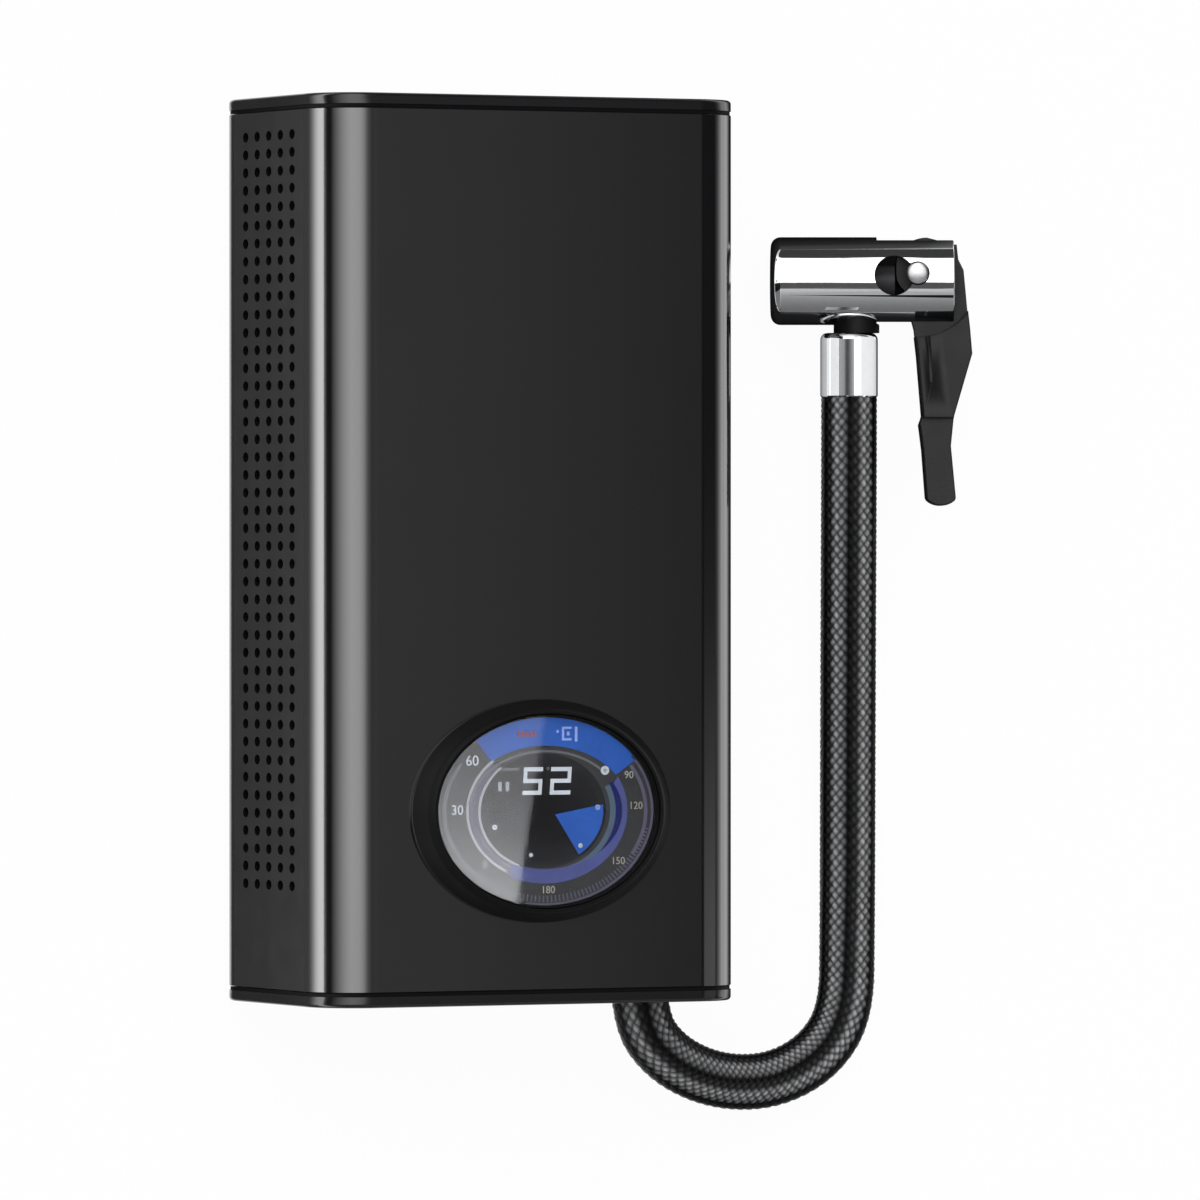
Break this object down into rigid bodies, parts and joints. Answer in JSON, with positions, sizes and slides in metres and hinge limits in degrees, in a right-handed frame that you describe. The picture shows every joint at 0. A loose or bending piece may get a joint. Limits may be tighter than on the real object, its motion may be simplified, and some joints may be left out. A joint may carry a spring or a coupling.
{
  "type": "portable tire inflator",
  "caption": "Cordless tire inflator with a perforated rounded casing, raised oval dial, braided hose and a chromed lever chuck.",
  "frame": {"origin": "centre of the casing's back face, on which the inflator lies", "axes": "+X across the width towards the hose side, +Y along the length from the hose end to the key end, +Z out of the front face with the gauge"},
  "size_m": [0.1489, 0.1874, 0.0538],
  "materials": {
    "casing_black": "gloss",
    "cap_black": "gloss",
    "bezel_black": "gloss",
    "lens_clear": "clear",
    "dial_print": "printed",
    "key_black": "satin",
    "board_green": "satin",
    "chip_black": "matte",
    "inner_plastic": "matte",
    "soft_rubber": "matte",
    "screw_steel": "satin",
    "bright_steel": "polished",
    "magnet_grey": "matte",
    "gear_steel": "satin",
    "cast_alloy": "cast",
    "fan_plastic": "matte",
    "reflector_silver": "mirror",
    "light_yellow": "satin",
    "cell_blue": "satin",
    "strip_nickel": "satin",
    "wire_red": "satin",
    "fitting_brass": "satin",
    "hose_braid": "braided",
    "chuck_chrome": "polished",
    "lever_black": "satin"
  },
  "bodies": {
    "inflator": {"battery_cells": "cell_blue", "battery_strips": "strip_nickel", "battery_tray": "inner_plastic", "board_parts": "chip_black", "bottom_cap": "cap_black", "cap_screws": "screw_steel", "casing_sleeve": "casing_black", "charge_port": "bright_steel", "chuck_body": "chuck_chrome", "control_board": "board_green", "crank_bearings": "bright_steel", "cylinder_head": "cast_alloy", "dial_plate": "dial_print", "display_board": "board_green", "gauge_bezel": "bezel_black", "gauge_gasket": "soft_rubber", "gauge_lens": "lens_clear", "gauge_retainer": "inner_plastic", "gauge_screws": "screw_steel", "head_gasket": "soft_rubber", "head_screws": "screw_steel", "hose_collar": "lever_black", "hose_ferrule": "chuck_chrome", "hose_gland": "fitting_brass", "hose_tube": "hose_braid", "inner_hose": "soft_rubber", "inner_leads": "wire_red", "motor_can": "bright_steel", "motor_magnets": "magnet_grey", "motor_screws": "screw_steel", "outlet_barb": "fitting_brass", "outlet_reed": "bright_steel", "pivot_pin": "chuck_chrome", "pressure_sensor": "fan_plastic", "pump_cylinder": "bright_steel", "pump_frame": "cast_alloy", "pump_pads": "soft_rubber", "switch_board": "board_green", "tactile_switches": "chip_black", "top_cap": "cap_black", "torch_lens": "lens_clear", "torch_light": "light_yellow", "torch_reflector": "reflector_silver", "valve_plate": "bright_steel", "valve_seal": "soft_rubber"},
    "motor_rotor": {"motor_shaft": "bright_steel", "motor_rotor": "magnet_grey", "motor_fan": "fan_plastic", "motor_pinion": "bright_steel"},
    "crank": {"drive_gear": "gear_steel", "crank_shaft": "bright_steel", "crank_clip": "bright_steel"},
    "piston": {"piston_rod": "cast_alloy", "piston_seal": "soft_rubber"},
    "lever": {"chuck_lever": "lever_black"},
    "plunger": {"chuck_plunger": "chuck_chrome"},
    "power_key": {"power_button": "key_black"},
    "mode_key": {"mode_button": "key_black"},
    "minus_key": {"minus_button": "key_black"},
    "plus_key": {"plus_button": "key_black"}
  },
  "joints": [
    {"name": "motor_spin", "type": "hinge", "parent": "inflator", "child": "motor_rotor", "pos_m": [0.0065, -0.015, 0.024], "axis": [0, 1, 0], "continuous": true},
    {"name": "crank_spin", "type": "hinge", "parent": "inflator", "child": "crank", "pos_m": [-0.013, -0.036, 0.024], "axis": [0, 1, 0], "continuous": true},
    {"name": "piston_slide", "type": "slide", "parent": "inflator", "child": "piston", "axis": [-1, 0, 0], "range_m": [0, 0.008]},
    {"name": "lever_pivot", "type": "hinge", "parent": "inflator", "child": "lever", "pos_m": [0.09408, 0.05185, 0.01887], "axis": [-0.4384, 0, 0.8988], "range_deg": [0, 90]},
    {"name": "plunger_slide", "type": "slide", "parent": "inflator", "child": "plunger", "axis": [-0.8988, 0, -0.4384], "range_m": [0, 0.0031]},
    {"name": "power_press", "type": "slide", "parent": "inflator", "child": "power_key", "axis": [0, -1, 0], "range_m": [0, 0.0008], "stiffness_N_per_m": 500, "springref_m": -0.001},
    {"name": "mode_press", "type": "slide", "parent": "inflator", "child": "mode_key", "axis": [0, -1, 0], "range_m": [0, 0.0008], "stiffness_N_per_m": 500, "springref_m": -0.001},
    {"name": "minus_press", "type": "slide", "parent": "inflator", "child": "minus_key", "axis": [0, -1, 0], "range_m": [0, 0.0008], "stiffness_N_per_m": 500, "springref_m": -0.001},
    {"name": "plus_press", "type": "slide", "parent": "inflator", "child": "plus_key", "axis": [0, -1, 0], "range_m": [0, 0.0008], "stiffness_N_per_m": 500, "springref_m": -0.001}
  ],
  "couplings": [
    {"joint": "crank_spin", "follows": "motor_spin", "ratio": -0.33333},
    {"joint": "plunger_slide", "follows": "lever_pivot", "m_per_rad": 0.00191}
  ]
}
